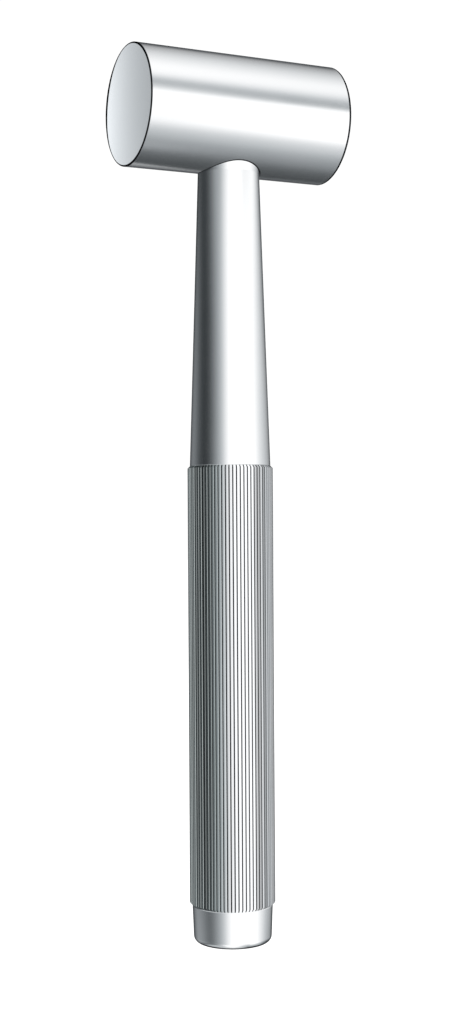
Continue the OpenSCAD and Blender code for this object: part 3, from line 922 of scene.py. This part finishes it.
CAP_STEEL = polished("polished_stainless_cap", "Z", 0.0, cap_edges)
TURNED_STEEL = polished("polished_stainless_turned", "Z")
GRIP_STEEL = fluted_steel()
ROD_STEEL = plain_metal("rod_stainless", (0.64, 0.65, 0.67), (0.50, 0.51, 0.53), 0.26)
PIN_STEEL = plain_metal("pin_stainless", (0.70, 0.71, 0.73), (0.60, 0.61, 0.63), 0.20)
SPRING_STEEL = plain_metal("spring_stainless", (0.56, 0.53, 0.48), (0.40, 0.37, 0.33), 0.24)
RUBBER, PLASTIC = rubber(), bush_plastic()

FINISH = {
    "head_bar": HEAD_STEEL, "neck_taper": TURNED_STEEL, "butt_cap_turned": CAP_STEEL, "grip_fluted": GRIP_STEEL,
    "lock_pin_flush": PIN_STEEL, "neck_dowel_pin": PIN_STEEL, "parallel_key": PIN_STEEL,
    "draw_rod_threaded": ROD_STEEL, "disc_spring_lower": SPRING_STEEL, "disc_spring_upper": SPRING_STEEL,
    "neck_seal": RUBBER, "grip_seal": RUBBER, "cap_seal": RUBBER, "centring_bush": PLASTIC,
}
for name, ob in made.items():
    ob.data.materials.clear()
    ob.data.materials.append(FINISH[name])


# Clean studio mirrors: the bright pieces don't reflect one another.
for ob in made.values():
    ob.visible_glossy = False


# ---------------------------------------------------------------- camera, at the photographer's place
AZ, EL, ROLL = (math.radians(a) for a in (-25.822, -0.364, -0.34))
DIST, AIM_Z, SHIFT = 411.561, 107.931, -0.098
right = Vector((math.cos(AZ), math.sin(AZ), 0))
back = Vector((math.sin(AZ) * math.cos(EL), -math.cos(AZ) * math.cos(EL), math.sin(EL)))
up = back.cross(right)
r2 = math.cos(ROLL) * right + math.sin(ROLL) * up
u2 = -math.sin(ROLL) * right + math.cos(ROLL) * up
place = (Vector((0, 0, AIM_Z)) + back * DIST + right * SHIFT) * MM
cam_data = bpy.data.cameras.new("camera")
cam_data.sensor_fit = "VERTICAL"
cam_data.sensor_height = 36
cam_data.lens = 1633.182 / 1024 * 36
cam_data.clip_start = 0.005
cam_data.clip_end = 50
cam = bpy.data.objects.new("camera", cam_data)
bpy.context.scene.collection.objects.link(cam)
cam.matrix_world = Matrix((
    (r2.x, u2.x, back.x, place.x), (r2.y, u2.y, back.y, place.y), (r2.z, u2.z, back.z, place.z), (0, 0, 0, 1)))
bpy.context.scene.camera = cam


# ---------------------------------------------------------------- the studio
def studio_world():
    """A white studio with dark flags: what the polished steel mirrors, apart from what the camera sees behind it."""
    w = bpy.data.worlds.new("studio")
    bpy.context.scene.world = w
    w.use_nodes = True
    w.cycles.sampling_method = "NONE"
    w.node_tree.nodes.clear()
    g = Graph(w.node_tree)
    d = g.add("ShaderNodeSeparateXYZ", {0: g.add("ShaderNodeTexCoord").outputs["Generated"]})
    x, y, z = d.outputs
    ca, sa = math.cos(AZ), math.sin(AZ)
    fr = g.math("ADD", g.math("MULTIPLY", x, ca), g.math("MULTIPLY", y, sa))
    fc = g.math("ADD", g.math("MULTIPLY", x, sa), g.math("MULTIPLY", y, -ca))
    deg = lambda v: g.math("MULTIPLY", v, 180 / math.pi)
    al = deg(g.math("ARCTAN2", fr, fc))
    el = deg(g.math("ARCSINE", g.math("MINIMUM", g.math("MAXIMUM", z, -1.0), 1.0)))
    left = g.math("DIVIDE", al, g.curve(el, [(6, 1), (10.6, 1.106), (13.1, 1.25), (15.1, 1.42), (17, 1.5)]))
    rite = g.math("DIVIDE", al, g.curve(el, [(6, 1), (10.6, 1.138), (13.1, 1.28), (15.1, 1.45), (17, 1.55)]))
    wide = g.math("ABSOLUTE", al)
    to_left = g.math("LESS_THAN", al, 0.0)
    al = g.blend(to_left, rite, left)
    side = g.curve(al, [(-180, 1.2), (-160, .9), (-150, .6), (-140, .42), (-124, .26), (-108, .14), (-94, .075), (-82, .045),
                        (-70, .047), (-60, .082), (-50, .165), (-40, .295), (-31, .445), (-22, .63), (-13, .93), (-4, 1.2), (0, 1.3),
                        (70, 1.3), (82, 1.12), (94, .91), (108, .79), (124, .73), (140, .85), (150, 1.1), (160, 1.2), (180, 1.2)])
    butt = g.curve(al, [(-180, 1.0), (-160, .6), (-148, .50), (-124, .50), (-108, .40), (-94, .31), (-82, .23), (-70, .185),
                        (-60, .23), (-50, .33), (-40, .44), (-31, .58), (-22, .77), (-13, 1.03), (0, 1.3)])
    below = g.curve(el, [(-17, 1), (-13, 0)])
    side = g.blend(g.math("MULTIPLY", below, to_left), side, butt)
    side = g.math("MULTIPLY", side, g.blend(below, 1.0, g.curve(al, [(58, 1), (70, .90), (84, .78), (100, .86), (124, .95), (180, 1)])))
    rise = g.curve(el, [(14, 0), (20, .1), (30, .27), (41, .55), (53, .8), (61, .97), (66, 1)])
    rise = g.math("MULTIPLY", rise, g.curve(al, [(-70, .12), (-5, 1)]))
    phi = deg(g.math("ARCTAN2", z, g.math("MULTIPLY", y, -1.0)))
    along = g.curve(x, [(0.385, 0), (0.49, 1)])
    off = g.math("DIVIDE", g.math("SUBTRACT", phi, g.math("MULTIPLY_ADD", along, -7.4, 33.8)), g.math("MULTIPLY_ADD", along, 6.5, 12.5))
    strip = g.math("EXPONENT", g.math("MULTIPLY", g.math("MULTIPLY", off, off), -1.0))
    strip = g.math("MULTIPLY", strip, g.curve(el, [(15.2, 0), (19.5, 1)]))
    strip = g.math("SUBTRACT", 1.0, g.math("MULTIPLY", strip, g.math("MULTIPLY_ADD", along, 0.10, 0.58)))
    top = g.curve(phi, [(70, 1.2), (88, 1.05), (101, .97), (112, .97), (118, 1.05), (127, 1.5), (140, 1.6), (180, 1.3)])
    top = g.math("MULTIPLY", top, g.math("MULTIPLY_ADD", along, -0.08, 1.0))
    upper = g.math("MULTIPLY", g.blend(rise, side, top), strip)
    over = g.math("MULTIPLY", g.curve(el, [(28, 0), (44, 1)]), g.curve(x, [(0.0, 1), (0.25, 0)]))
    upper = g.blend(over, upper, g.math("MAXIMUM", upper, 0.6))
    low = g.curve(phi, [(-180, 1.1), (-168, 1.0), (-160, .45), (-153, .14), (-138, .12), (-124, .12), (-112, .16), (-102, .22), (-92, .275),
                        (-83, .355), (-74.5, .44), (-66, .57), (-58, .66), (-50, .80), (-43, 1.02), (-35, 1.25)])
    low = g.math("MULTIPLY", low, g.math("MULTIPLY_ADD", along, 0.42, 0.85))
    hump = g.math("DIVIDE", g.math("ADD", phi, 104.0), 12.0)
    hump = g.math("EXPONENT", g.math("MULTIPLY", g.math("MULTIPLY", hump, hump), -1.0))
    low = g.math("MULTIPLY", low, g.math("MULTIPLY_ADD", hump, g.math("MULTIPLY_ADD", along, 0.30, -0.17), 1.0))
    low = g.blend(g.curve(wide, [(25, 1), (48, 0)]), low, 1.2)
    beside = g.math("MULTIPLY", g.curve(g.math("ABSOLUTE", g.math("SUBTRACT", x, 0.435)), [(0.11, 0), (0.2, 1)]), g.curve(el, [(-52, 1), (-40, 0)]))
    low = g.blend(beside, low, g.math("MAXIMUM", low, 0.6))
    low = g.blend(g.curve(el, [(-78, 1), (-66, 0)]), low, g.math("MAXIMUM", low, 0.9))
    dip = g.math("SUBTRACT", el, g.curve(wide, [(140, 0), (165, 14)]))
    under = g.blend(to_left, g.curve(dip, [(-30, 1), (-13, 0)]), g.curve(el, [(-44, 1), (-28, 0)]))
    env = g.blend(under, upper, low)
    tint = g.curve(env, [(0, 0), (.12, .40), (.3, .50), (.55, .62), (.9, .85), (1.2, 1)])
    colour = g.mix(tint, (0.87, 1.0, 1.085), (1.0, 1.0, 1.0))
    mirror = g.add("ShaderNodeBackground", {"Color": colour, "Strength": env})
    soft = g.add("ShaderNodeBackground", {"Color": (1, 1, 1, 1), "Strength": 1.2})
    white = g.add("ShaderNodeBackground", {"Color": (1, 1, 1, 1), "Strength": 1.05})
    path = g.add("ShaderNodeLightPath")
    a = g.add("ShaderNodeMixShader", {0: path.outputs["Is Glossy Ray"], 1: soft.outputs[0], 2: mirror.outputs[0]})
    b = g.add("ShaderNodeMixShader", {0: path.outputs["Is Camera Ray"], 1: a.outputs[0], 2: white.outputs[0]})
    out = g.add("ShaderNodeOutputWorld")
    g.t.links.new(b.outputs[0], out.inputs[0])


studio_world()


def reflector_card():
    """A graded card off to the left that the left striking face mirrors, from dull to bright."""
    m = bpy.data.materials.new("graded_card")
    m.use_nodes = True
    m.node_tree.nodes.clear()
    g = Graph(m.node_tree)
    u = g.add("ShaderNodeSeparateXYZ", {0: g.add("ShaderNodeTexCoord").outputs["Object"]}).outputs[0]
    level = g.curve(g.math("MULTIPLY", u, 1000.0), [(-22, .74), (-6, .82), (-3, .98), (0, 1.26), (3, 1.64), (4.6, 1.95), (6, 2.15), (22, 2.3)])
    tint = g.curve(level, [(0.5, 0), (2.6, 0.5)])
    e = g.add("ShaderNodeEmission", {"Color": g.mix(tint, (0.95, 1.0, 1.035), (1.0, 1.0, 1.0)), "Strength": level})
    out = g.add("ShaderNodeOutputMaterial")
    face = Vector((-HEAD_H, 0, HEAD_Z)) * MM
    eye = (face - place).normalized()
    away = Vector((-eye.x, eye.y, eye.z))
    here = g.add("ShaderNodeNewGeometry")
    aim = g.add("ShaderNodeVectorMath", {0: here.outputs["Incoming"], 1: tuple(-away)}, operation="DOT_PRODUCT")
    px, ix = (g.add("ShaderNodeSeparateXYZ", {0: here.outputs[k]}).outputs[0] for k in ("Position", "Incoming"))
    start = g.math("MULTIPLY_ADD", ix, g.add("ShaderNodeLightPath").outputs["Ray Length"], px)
    seen = g.math("LESS_THAN", start, (0.05 - HEAD_H) * MM)
    seen = g.math("MULTIPLY", seen, g.curve(aim.outputs["Value"], [(0.955, 0), (0.982, 1)]))
    show = g.add("ShaderNodeMixShader", {0: seen, 1: g.add("ShaderNodeBsdfTransparent").outputs[0], 2: e.outputs[0]})
    g.t.links.new(show.outputs[0], out.inputs[0])
    me = bpy.data.meshes.new("graded_card")
    me.from_pydata([(-.014, -.022, 0), (.014, -.022, 0), (.014, .022, 0), (-.014, .022, 0)], [], [(0, 1, 2, 3)])
    ob = bpy.data.objects.new("graded_card", me)
    bpy.context.scene.collection.objects.link(ob)
    me.materials.append(m)
    ob.location = face + away * 0.032
    zax = -away
    xax = Vector((0, 0, 1)).cross(zax).normalized()
    yax = zax.cross(xax)
    ob.matrix_world = Matrix((
        (xax.x, yax.x, zax.x, ob.location.x), (xax.y, yax.y, zax.y, ob.location.y), (xax.z, yax.z, zax.z, ob.location.z), (0, 0, 0, 1)))
    for flag in ("visible_camera", "visible_diffuse", "visible_transmission", "visible_volume_scatter", "visible_shadow"):
        setattr(ob, flag, False)


reflector_card()


def floor_disc():
    """A broad pale floor, seen only from above."""
    n, rows = 96, [0.0, 0.3, 0.9, 2.0, 5.0]
    verts, faces = [(0, 0, 0)], []
    for k, r in enumerate(rows[1:]):
        verts += [(r * math.cos(2 * math.pi * j / n), r * math.sin(2 * math.pi * j / n), 0) for j in range(n)]
    for j in range(n):
        faces.append((0, 1 + j, 1 + (j + 1) % n))
    for k in range(len(rows) - 2):
        a, b = 1 + k * n, 1 + (k + 1) * n
        for j in range(n):
            faces.append((a + j, b + j, b + (j + 1) % n, a + (j + 1) % n))
    me = bpy.data.meshes.new("studio_floor")
    me.from_pydata(verts, [], faces)
    ob = bpy.data.objects.new("studio_floor", me)
    bpy.context.scene.collection.objects.link(ob)
    ob.location = (0, 0, -0.018)
    m = bpy.data.materials.new("floor_paper")
    m.use_nodes = True
    m.node_tree.nodes.clear()
    g = Graph(m.node_tree)
    fine = noise(g, g.add("ShaderNodeTexCoord").outputs["Object"], 400.0, 3.0)
    p = g.add("ShaderNodeBsdfDiffuse", {"Color": g.mix(fine, (0.93, 0.93, 0.93), (0.96, 0.96, 0.96))})
    clear = g.add("ShaderNodeBsdfTransparent")
    mix = g.add("ShaderNodeMixShader", {0: g.add("ShaderNodeNewGeometry").outputs["Backfacing"], 1: p.outputs[0], 2: clear.outputs[0]})
    out = g.add("ShaderNodeOutputMaterial")
    g.t.links.new(mix.outputs[0], out.inputs[0])
    me.materials.append(m)
    ob.visible_glossy = False


floor_disc()


def softbox(name, at, size, power):
    """A big soft light that the steel doesn't mirror, for the matt pieces and the floor."""
    lamp = bpy.data.lights.new(name, "AREA")
    lamp.shape, lamp.size, lamp.energy = "DISK", size, power
    ob = bpy.data.objects.new(name, lamp)
    bpy.context.scene.collection.objects.link(ob)
    ob.location = at
    ob.rotation_euler = (Vector((0, 0, 0.1)) - Vector(at)).to_track_quat("-Z", "Y").to_euler()
    ob.visible_glossy = ob.visible_camera = False


softbox("soft_key", (-0.5, -0.9, 1.0), 0.8, 4.0)
softbox("soft_fill", (0.9, 0.5, 0.9), 0.9, 3.0)

sc = bpy.context.scene
sc.view_settings.view_transform = "Standard"
sc.view_settings.look = "None"
sc.view_settings.exposure = 0.0
sc.view_settings.gamma = 1.0
